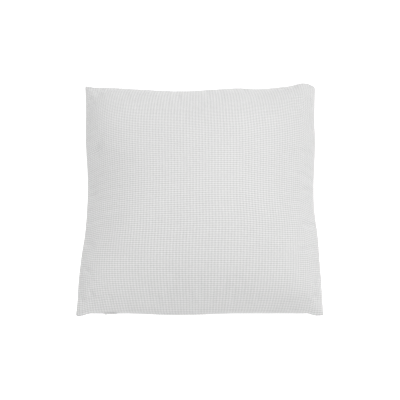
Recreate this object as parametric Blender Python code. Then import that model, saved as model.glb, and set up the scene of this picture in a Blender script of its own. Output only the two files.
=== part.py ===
"""Throw pillow, 450 mm class: a two-panel waffle-fabric cover with a concealed
coil zip along one edge, over a stuffed insert.

Metres, +Z up. The pillow lies on its back panel: the origin is under its middle,
on the face it rests on. -Y is the zip edge, +X is the right-hand side seen from
above with the zip edge nearest.
"""

import math

import bmesh
import bpy
from mathutils import Vector

for old in list(bpy.data.objects):
    bpy.data.objects.remove(old, do_unlink=True)

# ---------------------------------------------------------------- driving sizes
HALF_WIDTH_MID = 0.2020      # side seams, where they pull in half way up
HALF_WIDTH_CORNER = 0.2135   # side seams, at the corners
TOP_EDGE_MID = 0.2040        # top seam, at its middle
CORNER_Y = 0.2120            # both rows of corners
ZIP_EDGE_Y = 0.2078          # the zip edge is straight: its distance from the middle
ZIP_STRAIGHT = 0.88          # share of the half width over which it is straight
SEAM_Z = 0.0740              # height of the seam all round
FRONT_CROWN = 0.0940         # front panel's crown above the seam
BACK_CROWN = 0.0900          # the same for the back panel, if nothing pressed on it
PRESS_START = 0.0700         # the back panel begins to flatten at this depth
PRESS_END = 0.0780           # and is flat on the ground beyond this one
CROWN_POWER = 0.72           # how quickly the sides rise from the seam
CORNER_BLEND = 0.50          # how far the corners stay full

GRID = 16                    # patches along each side of a panel
FABRIC = 0.0016              # waffle fabric
SEAM_GAP = 0.00015           # half the gap between the two panels at a seam
LIP_GAP = 0.00080            # half the slit over the zip
ALLOWANCE = 0.0090           # seam allowance turned in
LIP_DEPTH = 0.0015           # fold of fabric beside the zip

INSERT_INSET = 0.0125        # insert's own seam, in from the cover's
INSERT_CLEAR = 0.0034        # insert's face, in from the cover's outer face
INSERT_FABRIC = 0.0006
FILL_CLEAR = 0.0004          # fibre, in from the insert's inner face

TAPE_HALF_LENGTH = 0.1820
TAPE = 0.0005
CHAIN_LOW_X, CHAIN_HIGH_X = -0.1690, 0.1700
SLIDER_X = -0.1640           # slider at rest, zip closed
PULL_DEPTH = -0.0013         # pull tab's pin, out from the seam
PULL_LENGTH = 0.0200


# ---------------------------------------------------------------- pillow surface
def half_width(t):
    return HALF_WIDTH_MID + (HALF_WIDTH_CORNER - HALF_WIDTH_MID) * abs(t) ** 2.5


def half_depth(s, t):
    if t >= 0:
        return TOP_EDGE_MID + (CORNER_Y - TOP_EDGE_MID) * abs(s) ** 2.5
    k = min(1.0, max(0.0, (abs(s) - ZIP_STRAIGHT) / (1.0 - ZIP_STRAIGHT)))
    return ZIP_EDGE_Y + (CORNER_Y - ZIP_EDGE_Y) * k * k * (3.0 - 2.0 * k)


def rise(s, t):
    """Height of the panel above the seam, as a share of its crown."""
    a, b = 1.0 - s * s, 1.0 - t * t
    if a < 1e-9 or b < 1e-9:
        return 0.0
    n = CORNER_BLEND
    return (a ** -n + b ** -n - 1.0) ** (-CROWN_POWER / n)


def over_zip(s, t):
    return t < 0 and abs(s) < 0.90 and abs(t) > 0.80


def half_gap(s, t):
    return LIP_GAP if over_zip(s, t) else SEAM_GAP


def surface(s, t, side):
    """Outer face of the cover: side +1 is the front panel, -1 the back one."""
    gap = half_gap(s, t)
    if side > 0:
        h = gap + (FRONT_CROWN - gap) * rise(s, t)
    else:
        h = gap + (BACK_CROWN - gap) * rise(s, t)
        if h >= PRESS_END:
            h = 0.5 * (PRESS_START + PRESS_END)
        elif h > PRESS_START:
            h -= (h - PRESS_START) ** 2 / (2.0 * (PRESS_END - PRESS_START))
    return Vector((s * half_width(t), t * half_depth(s, t), SEAM_Z + side * h))


def inward(s, t, side):
    """Unit vector into the pillow from the cover's outer face."""
    e = 1e-3
    s0, s1, t0, t1 = max(s - e, -0.9999), min(s + e, 0.9999), max(t - e, -0.9999), min(t + e, 0.9999)
    du = surface(s1, t, side) - surface(s0, t, side)
    dv = surface(s, t1, side) - surface(s, t0, side)
    n = du.cross(dv).normalized()
    return -n if n.z * side > 0 else n


def inset_point(s, t, depth, height, side, slide=None):
    """A point beside the seam: depth in from it, height off the seam's plane."""
    k = depth if slide is None else slide
    ks = 1.0 - (depth if abs(s) > 0.9999 else k) / half_width(t)
    kt = 1.0 - (depth if abs(t) > 0.9999 else k) / half_depth(s, t)
    p = surface(s, t, side)
    return Vector((p.x * ks, p.y * kt, SEAM_Z + side * height))


STEPS = [-math.cos(math.pi * i / GRID) for i in range(GRID + 1)]


def ring():
    """Grid indices round the border, anticlockwise seen from above."""
    n = GRID
    return (
        [(i, 0) for i in range(n)]
        + [(n, j) for j in range(n)]
        + [(i, n) for i in range(n, 0, -1)]
        + [(0, j) for j in range(n, 0, -1)]
    )


# ---------------------------------------------------------------- helpers
def material(name, color, roughness, metallic=0.0):
    m = bpy.data.materials.new(name)
    m.use_nodes = True
    b = m.node_tree.nodes["Principled BSDF"]
    b.inputs["Base Color"].default_value = (*color, 1.0)
    b.inputs["Roughness"].default_value = roughness
    b.inputs["Metallic"].default_value = metallic
    return m


WAFFLE = ((0.78, 0.78, 0.77), 0.9, 0.0)
THREAD = ((0.80, 0.80, 0.79), 0.8, 0.0)
TAPE_CLOTH = ((0.76, 0.76, 0.75), 0.85, 0.0)
COIL = ((0.80, 0.80, 0.78), 0.45, 0.0)
METAL = ((0.62, 0.62, 0.63), 0.35, 1.0)
LINING = ((0.86, 0.86, 0.86), 0.9, 0.0)
FIBRE = ((0.90, 0.90, 0.90), 0.95, 0.0)
LABEL = ((0.84, 0.84, 0.83), 0.6, 0.0)


def finish(name, bm, look, smooth=True, angle=40.0):
    bmesh.ops.recalc_face_normals(bm, faces=bm.faces)
    if bm.calc_volume(signed=True) < 0:
        bmesh.ops.reverse_faces(bm, faces=bm.faces)
    mesh = bpy.data.meshes.new(name)
    bm.to_mesh(mesh)
    bm.free()
    if smooth:
        mesh.shade_smooth()
        mesh.set_sharp_from_angle(angle=math.radians(angle))
    obj = bpy.data.objects.new(name, mesh)
    bpy.context.scene.collection.objects.link(obj)
    mesh.materials.append(material(name + "_material", *look))
    return obj


def patch(bm, g, i, j, flip, outward=True):
    """One grid patch as two triangles. Nested faces split the same way, so that they stay apart."""
    p, q, r, u = g[i][j], g[i + 1][j], g[i + 1][j + 1], g[i][j + 1]
    tris = [(p, q, r), (p, r, u)] if outward else [(p, q, u), (q, r, u)]
    for t in tris:
        bm.faces.new(t[::-1] if flip else t)


def outward_split(i, j):
    return (i < GRID // 2) == (j < GRID // 2)


def panel(name, outer, rim, inner, look):
    """A thin closed shell: two grids of points and the loops that join their borders."""
    bm = bmesh.new()
    n = GRID
    a = [[bm.verts.new(outer(s, t)) for t in STEPS] for s in STEPS]
    b = [[bm.verts.new(inner(s, t)) for t in STEPS] for s in STEPS]
    loops = [[a[i][j] for i, j in ring()]]
    for make in rim:
        loops.append([bm.verts.new(make(STEPS[i], STEPS[j])) for i, j in ring()])
    loops.append([b[i][j] for i, j in ring()])
    for g, flip in ((a, False), (b, True)):
        for i in range(n):
            for j in range(n):
                patch(bm, g, i, j, flip, outward_split(i, j))
    for p, q in zip(loops, loops[1:]):
        for k in range(len(p)):
            m = (k + 1) % len(p)
            bm.faces.new((p[k], q[k], q[m], p[m]))
    return finish(name, bm, look)


def tube(name, path, sections, look, closed=False, smooth=True):
    """Joins one ring of points for each station of a path, with caps if it is open."""
    bm = bmesh.new()
    rings = [[bm.verts.new(p) for p in section] for section in sections]
    count = len(rings)
    for i in range(count if closed else count - 1):
        p, q = rings[i], rings[(i + 1) % count]
        for k in range(len(p)):
            m = (k + 1) % len(p)
            bm.faces.new((p[k], p[m], q[m], q[k]))
    if not closed:
        bm.faces.new(rings[0])
        bm.faces.new(rings[-1][::-1])
    return finish(name, bm, look, smooth)


def round_section(centre, along, radius, sides):
    u = Vector((0, 0, 1))
    v = along.normalized().cross(u)
    return [
        centre + radius * (math.cos(2 * math.pi * k / sides) * u + math.sin(2 * math.pi * k / sides) * v)
        for k in range(sides)
    ]


def cord(name, path, radius, sides, look, closed=False):
    n = len(path)
    sections = []
    for i, p in enumerate(path):
        before = path[i - 1] if closed or i else p
        after = path[(i + 1) % n] if closed or i < n - 1 else p
        sections.append(round_section(p, after - before, radius, sides))
    return tube(name, path, sections, look, closed)


def zip_point(x, depth, height):
    """A point near the zip: depth in from the seam (+Y), height off the seam's plane."""
    return Vector((x, -ZIP_EDGE_Y + depth, SEAM_Z + height))


def zip_prism(name, outline, x0, x1, look, bevel=0.0):
    """An outline of (depth, height) points carried along the zip from x0 to x1."""
    ends = [[zip_point(x, d, h) for d, h in outline] for x in (x0, x1)]
    obj = tube(name, None, ends, look, smooth=False)
    if bevel:
        add_bevel(obj, bevel)
    return obj


def add_bevel(obj, width, segments=1):
    mod = obj.modifiers.new("edges", "BEVEL")
    mod.width = width
    mod.segments = segments
    mod.limit_method = "ANGLE"
    mod.angle_limit = math.radians(50)


def plate(name, outline, d0, d1, look):
    """An outline of (x, height) points, d0 to d1 deep, about the slider's middle."""
    rings = [[zip_point(SLIDER_X + x, d, h) for x, h in outline] for d in (d0, d1)]
    return tube(name, None, rings, look, smooth=False)


def block(name, x0, x1, d0, d1, h0, h1, look):
    return plate(name, [(x0, h0), (x1, h0), (x1, h1), (x0, h1)], d0, d1, look)


def union(target, tools):
    for tool in tools:
        mod = target.modifiers.new("join_" + tool.name, "BOOLEAN")
        mod.operation = "UNION"
        mod.solver = "EXACT"
        mod.object = tool
        tool.hide_render = True
        tool.display_type = "WIRE"


# ---------------------------------------------------------------- the cover
def cover_panel(name, side):
    def inner(s, t):
        if abs(s) > 0.9999 or abs(t) > 0.9999:
            zip_here = over_zip(s, t)
            return inset_point(s, t, 0.0020, 0.0016 if zip_here else 0.00175, side)
        return surface(s, t, side) + FABRIC * inward(s, t, side)

    def lower(s, t):
        if over_zip(s, t):
            return inset_point(s, t, LIP_DEPTH, LIP_GAP, side)
        return inset_point(s, t, ALLOWANCE, SEAM_GAP, side)

    def upper(s, t):
        if over_zip(s, t):
            return inset_point(s, t, LIP_DEPTH + 0.0002, LIP_GAP + 0.00035, side)
        return inset_point(s, t, ALLOWANCE, SEAM_GAP + 0.0014, side)

    return panel(name, lambda s, t: surface(s, t, side), (lower, upper), inner, WAFFLE)


cover_panel("cover_front_panel", +1)
cover_panel("cover_back_panel", -1)


# overlock thread: wraps both raw edges of the turned-in allowances
def overlock(name, edge):
    steps = STEPS[2:-2]
    shape = [
        (0.0060, 0.0023), (0.0099, 0.0023), (0.0099, -0.0023), (0.0060, -0.0023),
        (0.0060, -0.00185), (0.0093, -0.00185), (0.0093, 0.00185), (0.0060, 0.00185),
    ]
    sections = []
    for v in steps:
        s, t = {"left": (-1.0, v), "right": (1.0, v), "top": (v, 1.0)}[edge]
        sections.append([inset_point(s, t, d, h, 1, slide=ALLOWANCE) for d, h in shape])
    return tube(name, None, sections, THREAD, smooth=False)


overlock("overlock_left", "left")
overlock("overlock_right", "right")
overlock("overlock_top", "top")


# ---------------------------------------------------------------- the zip
def tape(name, side):
    """Woven tape: flat beside the coil, then following the inside of the panel."""
    line = [(0.0058, 0.00075), (0.0058, 0.0039), (0.0066, 0.0060), (0.0078, 0.0070), (0.0095, 0.0076)]
    inner, outer = [], []
    for i, (d, h) in enumerate(line):
        a = line[max(i - 1, 0)]
        b = line[min(i + 1, len(line) - 1)]
        run = math.hypot(b[0] - a[0], b[1] - a[1])
        nd, nh = (b[1] - a[1]) / run, -(b[0] - a[0]) / run
        inner.append((d + nd * TAPE / 2, h + nh * TAPE / 2))
        outer.append((d - nd * TAPE / 2, h - nh * TAPE / 2))
    outline = [(d, side * h) for d, h in outer + inner[::-1]]
    return zip_prism(name, outline, -TAPE_HALF_LENGTH, TAPE_HALF_LENGTH, TAPE_CLOTH)


tape("zip_tape_front", +1)
tape("zip_tape_back", -1)


def coil(name, side):
    outline = [
        (0.00445, 0.00080), (0.00470, 0.00055), (0.00505, 0.00055), (0.00522, 0.00080),
        (0.00522, 0.00190), (0.00500, 0.00210), (0.00470, 0.00210), (0.00445, 0.00190),
    ]
    return zip_prism(name, [(d, side * h) for d, h in outline], CHAIN_LOW_X, CHAIN_HIGH_X, COIL)


coil("zip_coil_front", +1)
coil("zip_coil_back", -1)


def top_stop(name, side):
    outline = [(0.0043, 0.0006), (0.0052, 0.0006), (0.0052, 0.0023), (0.0043, 0.0023)]
    return zip_prism(name, [(d, side * h) for d, h in outline], -0.1715, -0.1695, METAL, bevel=0.0002)


top_stop("zip_top_stop_front", +1)
top_stop("zip_top_stop_back", -1)
zip_prism(
    "zip_bottom_stop",
    [(0.0043, -0.0023), (0.0052, -0.0023), (0.0052, 0.0023), (0.0043, 0.0023)],
    0.1705, 0.1735, METAL, bevel=0.0002,
)


def tape_stitch(name, side):
    """The row of lockstitch that holds a tape to its panel, along the tape's inner face."""
    count = 41
    path = []
    for i in range(count):
        x = -0.1800 + 0.3600 * i / (count - 1)
        wave = 0.00012 * (-1) ** i
        path.append(zip_point(x, 0.00780, side * (0.00580 + wave)))
    return cord(name, path, 0.00025, 6, THREAD)


tape_stitch("zip_stitch_front", +1)
tape_stitch("zip_stitch_back", -1)

# slider: two plates round the chain, joined by a thin post, and a bridge that passes
# out through the slit and carries the pull tab
plan = [
    (-0.0050, -0.0022), (-0.0034, -0.0032), (0.0036, -0.0032), (0.0050, -0.0024),
    (0.0050, 0.0024), (0.0036, 0.0032), (-0.0034, 0.0032), (-0.0050, 0.0022),
]
slider = plate("zip_slider", plan, 0.0034, 0.0041, METAL)
small = [(x * 0.94, h * 0.94) for x, h in plan]
parts = [
    plate("slider_inner_plate", small, 0.0064, 0.0071, METAL),
    block("slider_post", -0.0042, -0.0018, 0.0038, 0.0067, -0.0003, 0.0003, METAL),
    block("slider_rail_front", -0.0030, 0.0032, 0.0038, 0.0052, 0.0026, 0.0031, METAL),
    block("slider_rail_back", -0.0030, 0.0032, 0.0038, 0.0052, -0.0031, -0.0026, METAL),
]
bridge_outline = [
    (-0.0029, 0.0037), (-0.0029, -0.0026), (-0.0024, -0.0031), (0.0024, -0.0031), (0.0029, -0.0026), (0.0029, 0.0037),
    (0.0019, 0.0037), (0.0019, -0.0022), (-0.0019, -0.0022), (-0.0019, 0.0037),
]
bridge = tube(
    "slider_bridge", None,
    [[zip_point(SLIDER_X + x, d, h) for x, d in bridge_outline] for h in (-0.0004, 0.0004)],
    METAL, smooth=False,
)
web = block("slider_web", -0.0024, 0.0024, -0.0004, 0.0037, -0.0004, 0.0004, METAL)
union(slider, [*parts, bridge, web])
slider_cutters = [*parts, bridge, web]

# pull tab: a flat plate with a window round the bridge, its pin through the bridge;
# its origin is on the pin, which it turns about
pin_at = zip_point(SLIDER_X, PULL_DEPTH, 0.0)


def tab_shape(name, outline, h0, h1):
    rings = [[pin_at + Vector((x, h0 if k == 0 else h1, z)) for x, z in outline] for k in (0, 1)]
    return tube(name, None, rings, METAL, smooth=False)


TAB_HALF, TAB_THICK = 0.0023, 0.00045
pull = tab_shape(
    "zip_pull_tab",
    [
        (0.0039, -TAB_HALF), (PULL_LENGTH - 0.0015, -TAB_HALF - 0.0004), (PULL_LENGTH, -TAB_HALF + 0.0010),
        (PULL_LENGTH, TAB_HALF - 0.0010), (PULL_LENGTH - 0.0015, TAB_HALF + 0.0004), (0.0039, TAB_HALF),
    ],
    -TAB_THICK, TAB_THICK,
)
arms = [
    tab_shape("tab_arm_front", [(-0.0008, 0.0009), (0.0045, 0.0009), (0.0045, TAB_HALF), (-0.0008, TAB_HALF)], -TAB_THICK, TAB_THICK),
    tab_shape("tab_arm_back", [(-0.0008, -TAB_HALF), (0.0045, -TAB_HALF), (0.0045, -0.0009), (-0.0008, -0.0009)], -TAB_THICK, TAB_THICK),
]
sides = 10
pin = tube(
    "tab_pin", None,
    [
        [
            pin_at + Vector((0.00040 * math.cos(2 * math.pi * k / sides), 0.00040 * math.sin(2 * math.pi * k / sides), z))
            for k in range(sides)
        ]
        for z in (-0.0013, 0.0013)
    ],
    METAL, smooth=False,
)
union(pull, [*arms, pin])
for obj in [pull, *arms, pin]:
    for v in obj.data.vertices:
        v.co -= pin_at
    obj.location = pin_at


# ---------------------------------------------------------------- the insert
def insert_inset(s, t, depth, clear, side):
    """A point of the insert: on its own seam at the border, else in from the cover's face."""
    k = INSERT_INSET / half_width(t), INSERT_INSET / half_depth(s, t)
    if abs(s) > 0.9999 or abs(t) > 0.9999:
        return inset_point(s, t, depth, 0.0002, side)
    u, v = s * (1.0 - k[0]), t * (1.0 - k[1])
    return surface(u, v, side) + clear * inward(u, v, side)


def insert_panel(name, side):
    def inner(s, t):
        if abs(s) > 0.9999 or abs(t) > 0.9999:
            return inset_point(s, t, INSERT_INSET + 0.0009, 0.0012, side)
        return insert_inset(s, t, INSERT_INSET, INSERT_CLEAR + INSERT_FABRIC, side)

    return panel(
        name,
        lambda s, t: insert_inset(s, t, INSERT_INSET, INSERT_CLEAR, side),
        (lambda s, t: inset_point(s, t, INSERT_INSET + 0.0006, 0.0002, side),),
        inner,
        LINING,
    )


insert_panel("insert_front_panel", +1)
insert_panel("insert_back_panel", -1)


def fibre():
    """The polyester filling: one body that fills the insert."""
    bm = bmesh.new()
    n = GRID
    clear = INSERT_CLEAR + INSERT_FABRIC + FILL_CLEAR
    border = {}
    grids = []
    for side in (1, -1):
        g = []
        for i, s in enumerate(STEPS):
            row = []
            for j, t in enumerate(STEPS):
                if i in (0, n) or j in (0, n):
                    if (i, j) not in border:
                        p = inset_point(s, t, INSERT_INSET + 0.0022, 0.0, 1)
                        border[i, j] = bm.verts.new(p)
                    row.append(border[i, j])
                else:
                    row.append(bm.verts.new(insert_inset(s, t, INSERT_INSET, clear, side)))
            g.append(row)
        grids.append(g)
    for g in grids:
        for i in range(n):
            for j in range(n):
                patch(bm, g, i, j, False, outward_split(i, j))
    return finish("fibre_filling", bm, FIBRE)


fibre()

# the insert's seam thread runs round it, but for the stretch left open for stuffing,
# which a second thread closes afterwards
THREAD_INSET, THREAD_R, MOUTH = 0.0114, 0.00045, 0.060


def insert_edge(s, t):
    return inset_point(s, t, THREAD_INSET, 0.0, 1)


def zip_side(x):
    return Vector((x, insert_edge(0.0, -1.0).y, SEAM_Z))


around = [insert_edge(STEPS[i], STEPS[j]) for i, j in ring()]
start = [p for p in around[: GRID] if p.x > MOUTH + 0.002]
rest = around[GRID:]
last = [p for p in around[: GRID] if p.x < -MOUTH - 0.002]
cord("insert_seam_thread", [zip_side(MOUTH + 0.001), *start, *rest, *last, zip_side(-MOUTH - 0.001)], THREAD_R, 6, THREAD)
closing = []
for i in range(25):
    x = -MOUTH + 2.0 * MOUTH * i / 24
    closing.append(zip_side(x) + Vector((0, 0, 0.0002 * (-1) ** i)))
cord("insert_closing_thread", closing, THREAD_R, 6, THREAD)


# ---------------------------------------------------------------- care label
def label():
    """A blank folded label caught near the zip's closed end, lying inside the back panel."""
    bm = bmesh.new()
    s_steps = STEPS[2:5]
    t_steps = STEPS[5:7]
    layers = []
    for clear in (0.00235, 0.00265):
        layers.append([
            [bm.verts.new(surface(s, t, -1) + clear * inward(s, t, -1)) for t in t_steps] for s in s_steps
        ])
    a, b = layers
    ns, nt = len(s_steps), len(t_steps)
    for g, flip in ((a, False), (b, True)):
        for i in range(ns - 1):
            for j in range(nt - 1):
                patch(bm, g, i, j, flip)
    edge = [(i, 0) for i in range(ns - 1)] + [(ns - 1, j) for j in range(nt - 1)]
    edge += [(i, nt - 1) for i in range(ns - 1, 0, -1)] + [(0, j) for j in range(nt - 1, 0, -1)]
    for k in range(len(edge)):
        (i, j), (m, n) = edge[k], edge[(k + 1) % len(edge)]
        bm.faces.new((a[i][j], b[i][j], b[m][n], a[m][n]))
    return finish("care_label", bm, LABEL)


label()
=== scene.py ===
"""Looks of the throw pillow: waffle-fabric cover by cloth simulation, concealed zip, insert and filling."""
import math

import bmesh
import bpy
import numpy as np
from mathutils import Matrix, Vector


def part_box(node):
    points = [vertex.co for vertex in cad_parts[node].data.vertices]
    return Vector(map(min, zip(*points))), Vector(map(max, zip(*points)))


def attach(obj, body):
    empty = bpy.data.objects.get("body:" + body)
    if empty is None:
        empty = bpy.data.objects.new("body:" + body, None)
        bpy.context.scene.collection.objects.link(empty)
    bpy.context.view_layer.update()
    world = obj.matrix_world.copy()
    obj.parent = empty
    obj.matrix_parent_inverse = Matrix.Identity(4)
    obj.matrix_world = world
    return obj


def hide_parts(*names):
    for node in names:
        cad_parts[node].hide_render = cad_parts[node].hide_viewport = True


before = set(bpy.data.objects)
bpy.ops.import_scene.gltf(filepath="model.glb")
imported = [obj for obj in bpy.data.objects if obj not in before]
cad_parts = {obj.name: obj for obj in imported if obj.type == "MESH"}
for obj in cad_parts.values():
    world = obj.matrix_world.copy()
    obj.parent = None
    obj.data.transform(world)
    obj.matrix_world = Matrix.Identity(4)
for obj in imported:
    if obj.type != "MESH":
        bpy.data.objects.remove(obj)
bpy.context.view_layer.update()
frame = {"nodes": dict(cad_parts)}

NODES = frame["nodes"]

# ------------------------------------------------------------------ sizes (metres)
FLAT = 0.450                  # the cover's finished flat size
SEAM_Z = 0.0740
ZIP_Y = -0.2078               # the straight seam over the zip
FRONT_CROWN, BACK_CROWN = 0.0925, 0.0900
PRESS_START, PRESS_END = 0.0690, 0.0770
COLS, ROWS = 88, 128          # waffle cells across and up a panel
PER_COL, PER_ROW = 3, 2       # mesh steps in a cell, across and up
RELIEF = 0.00078              # height of the waffle's ridges over its pits
SIM = 64                      # cloth patches along each side in the simulation
SEAM_GAP, LIP_GAP = 0.00015, 0.00050
FABRIC = 0.0016


# ------------------------------------------------------------------ camera, light, floor
def look_at(obj, target):
    obj.rotation_euler = (Vector(target) - obj.location).to_track_quat("-Z", "Y").to_euler()


scene = bpy.context.scene
ELEVATION, DISTANCE = math.radians(74.0), 1.93
AIM = Vector((0.0, -0.0045, 0.078))
cam_data = bpy.data.cameras.new("camera")
cam_data.lens, cam_data.sensor_width = 97.6, 36.0
cam_data.clip_start, cam_data.clip_end = 0.05, 50.0
camera = bpy.data.objects.new("camera", cam_data)
scene.collection.objects.link(camera)
camera.location = AIM - DISTANCE * Vector((0.0, math.cos(ELEVATION), -math.sin(ELEVATION)))
look_at(camera, AIM)
scene.camera = camera


# ------------------------------------------------------------------ the seam's line
def curve(*knots):
    """A smooth line through (place, value) pairs."""
    at, val = np.array(knots).T
    slope = np.gradient(val, at)

    def value(x):
        k = int(np.clip(np.searchsorted(at, x) - 1, 0, len(at) - 2))
        h = at[k + 1] - at[k]
        f = (x - at[k]) / h
        if f < 0.0 or f > 1.0:
            end = 0 if f < 0.0 else -1
            return float(val[end] + slope[end] * (x - at[end]))
        return float(
            (2 * f**3 - 3 * f**2 + 1) * val[k] + (f**3 - 2 * f**2 + f) * h * slope[k]
            + (3 * f**2 - 2 * f**3) * val[k + 1] + (f**3 - f**2) * h * slope[k + 1]
        )
    return value


# the sides pull in between the corners, each in its own way
left_x = curve((-0.212, -0.2150), (-0.196, -0.2135), (-0.152, -0.2118), (-0.107, -0.2082), (-0.070, -0.2038), (-0.020, -0.2011), (0.040, -0.2017), (0.075, -0.2045), (0.125, -0.2077), (0.165, -0.2083), (0.209, -0.2110))
right_x = curve((-0.212, 0.2136), (-0.166, 0.2121), (-0.107, 0.2098), (-0.070, 0.2084), (-0.020, 0.2038), (0.020, 0.2038), (0.070, 0.2068), (0.110, 0.2088), (0.140, 0.2085), (0.175, 0.2098), (0.212, 0.2118))
top_y = curve((-0.211, 0.2150), (-0.199, 0.2127), (-0.160, 0.2108), (-0.114, 0.2080), (-0.057, 0.2052), (-0.028, 0.2052), (0.028, 0.2090), (0.070, 0.2115), (0.107, 0.2098), (0.142, 0.2122), (0.170, 0.2160), (0.187, 0.2204), (0.200, 0.2186), (0.213, 0.2118))


def bottom_y(x):
    start, run, drop = (0.188, 0.020, 0.0046) if x < 0 else (0.1855, 0.013, 0.0038)
    ear = min(1.0, max(0.0, (abs(x) - start) / run))
    return ZIP_Y - drop * ear * ear * (3 - 2 * ear)


def corner(sx, sy):
    """The corner where two seam lines meet."""
    x, y = sx * 0.2130, sy * 0.2110
    for _ in range(20):
        x = left_x(y) if sx < 0 else right_x(y)
        y = bottom_y(x) if sy < 0 else top_y(x)
    return x, y


CORNERS = {(sx, sy): corner(sx, sy) for sx in (-1, 1) for sy in (-1, 1)}


def seam_height(x, y):
    """The seam waves a little out of its plane, except along the stiff zip."""
    away = min(1.0, max(0.0, (y - ZIP_Y) / 0.06))
    return SEAM_Z + 0.0026 * away * (math.sin(17.0 * x + 0.7) * math.cos(11.0 * y) + 0.6 * math.sin(23.0 * y - 1.1))


def plan(s, t):
    """A point of the plan view, s and t from -1 to 1, inside the four seam lines."""
    yb0, yb1 = CORNERS[-1, -1][1], CORNERS[1, -1][1]
    yt0, yt1 = CORNERS[-1, 1][1], CORNERS[1, 1][1]
    a, b = (s + 1) / 2, (t + 1) / 2
    y_side_l = yb0 + (yt0 - yb0) * b
    y_side_r = yb1 + (yt1 - yb1) * b
    xb0, xb1 = CORNERS[-1, -1][0], CORNERS[1, -1][0]
    xt0, xt1 = CORNERS[-1, 1][0], CORNERS[1, 1][0]
    x_bot, x_top = xb0 + (xb1 - xb0) * a, xt0 + (xt1 - xt0) * a
    left = (left_x(y_side_l), y_side_l)
    right = (right_x(y_side_r), y_side_r)
    low = (x_bot, bottom_y(x_bot))
    high = (x_top, top_y(x_top))
    x = (1 - a) * left[0] + a * right[0] + (1 - b) * low[0] + b * high[0]
    y = (1 - a) * left[1] + a * right[1] + (1 - b) * low[1] + b * high[1]
    cx = (1 - a) * (1 - b) * xb0 + a * (1 - b) * xb1 + (1 - a) * b * xt0 + a * b * xt1
    cy = (1 - a) * (1 - b) * yb0 + a * (1 - b) * yb1 + (1 - a) * b * yt0 + a * b * yt1
    return x - cx, y - cy


def rise(s, t, blend=0.7, power=0.70):
    a, b = 1.0 - s * s, 1.0 - t * t
    if a < 1e-9 or b < 1e-9:
        return 0.0
    return (a ** -blend + b ** -blend - 1.0) ** (-power / blend)


# fabric coordinate to plan coordinate: the cloth is foreshortened where the sides are steep
_s = np.linspace(-1.0, 1.0, 2001)
_z = FRONT_CROWN * np.array([rise(x, 0.0) for x in _s])
_arc = np.concatenate([[0.0], np.cumsum(np.hypot(np.diff(_s * 0.206), np.diff(_z)))])
_arc = _arc / _arc[-1] * 2.0 - 1.0


def cloth_to_plan(u, other):
    w = abs(other) ** 4
    return (1.0 - w) * float(np.interp(u, _arc, _s)) + w * u


# ------------------------------------------------------------------ cloth simulation
def start_shape(n):
    us = np.linspace(-1.0, 1.0, n + 1)
    points, index = [], {}
    grids = {}
    for side in (1, -1):
        g = np.zeros((n + 1, n + 1), int)
        for i in range(n + 1):
            for j in range(n + 1):
                edge = i in (0, n) or j in (0, n)
                key = (0 if edge else side, i, j)
                if key not in index:
                    s, t = cloth_to_plan(us[i], us[j]), cloth_to_plan(us[j], us[i])
                    x, y = plan(s, t)
                    h = (FRONT_CROWN if side > 0 else BACK_CROWN) * rise(s, t)
                    index[key] = len(points)
                    points.append((x, y, seam_height(x, y) + (0.0 if edge else side * h)))
                g[i, j] = index[key]
        grids[side] = g
    return np.array(points), grids


def simulate(n):
    """Both panels as one bag, sewn round its border and pinned there, blown up against cloth that is
    longer near the seams than the seams themselves, so that it gathers there."""
    points, grids = start_shape(n)
    faces = []
    for side in (1, -1):
        g = grids[side]
        for i in range(n):
            for j in range(n):
                q = [int(g[i, j]), int(g[i + 1, j]), int(g[i + 1, j + 1]), int(g[i, j + 1])]
                faces.append(q if side > 0 else q[::-1])
    mesh = bpy.data.meshes.new("bag")
    mesh.from_pydata(points.tolist(), [], faces)
    bag = bpy.data.objects.new("bag", mesh)
    scene.collection.objects.link(bag)
    g = grids[1]
    border = sorted({int(v) for v in (*g[0], *g[-1], *g[:, 0], *g[:, -1])})
    bag.vertex_groups.new(name="seam").add(border, 1.0, "REPLACE")
    grow = bag.vertex_groups.new(name="grow")
    us = np.linspace(-1.0, 1.0, n + 1)
    for g in grids.values():
        for i in range(n + 1):
            for j in range(n + 1):
                zip_edge = 0.55 if us[j] < -0.9 and abs(us[i]) < 0.9 else 1.0
                w = max(abs(us[i]), abs(us[j])) ** 3 * zip_edge
                grow.add([int(g[i, j])], min(1.0, w), "REPLACE")
    cloth = bag.modifiers.new("cloth", "CLOTH")
    c = cloth.settings
    c.quality, c.mass, c.air_damping = 6, 0.15, 3.0
    c.tension_stiffness = c.compression_stiffness = 15.0
    c.shear_stiffness, c.bending_stiffness = 3.0, 0.8
    c.tension_damping = c.compression_damping = c.shear_damping = 5.0
    c.bending_damping = 0.5
    c.use_pressure, c.uniform_pressure_force = True, 30.0
    c.effector_weights.gravity = 0.0
    c.vertex_group_mass = "seam"
    c.vertex_group_shrink = "grow"
    c.shrink_min, c.shrink_max = -0.010, -0.060
    cloth.collision_settings.use_collision = False
    cloth.collision_settings.use_self_collision = False
    cloth.point_cache.frame_start, cloth.point_cache.frame_end = 1, 36
    for f in range(1, 37):
        scene.frame_set(f)
    shaped = bag.evaluated_get(bpy.context.evaluated_depsgraph_get())
    flat = np.empty(len(points) * 3)
    shaped.data.vertices.foreach_get("co", flat)
    flat = flat.reshape(-1, 3)
    bpy.data.objects.remove(bag, do_unlink=True)
    scene.frame_set(1)
    return flat[grids[1]], flat[grids[-1]]


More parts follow.
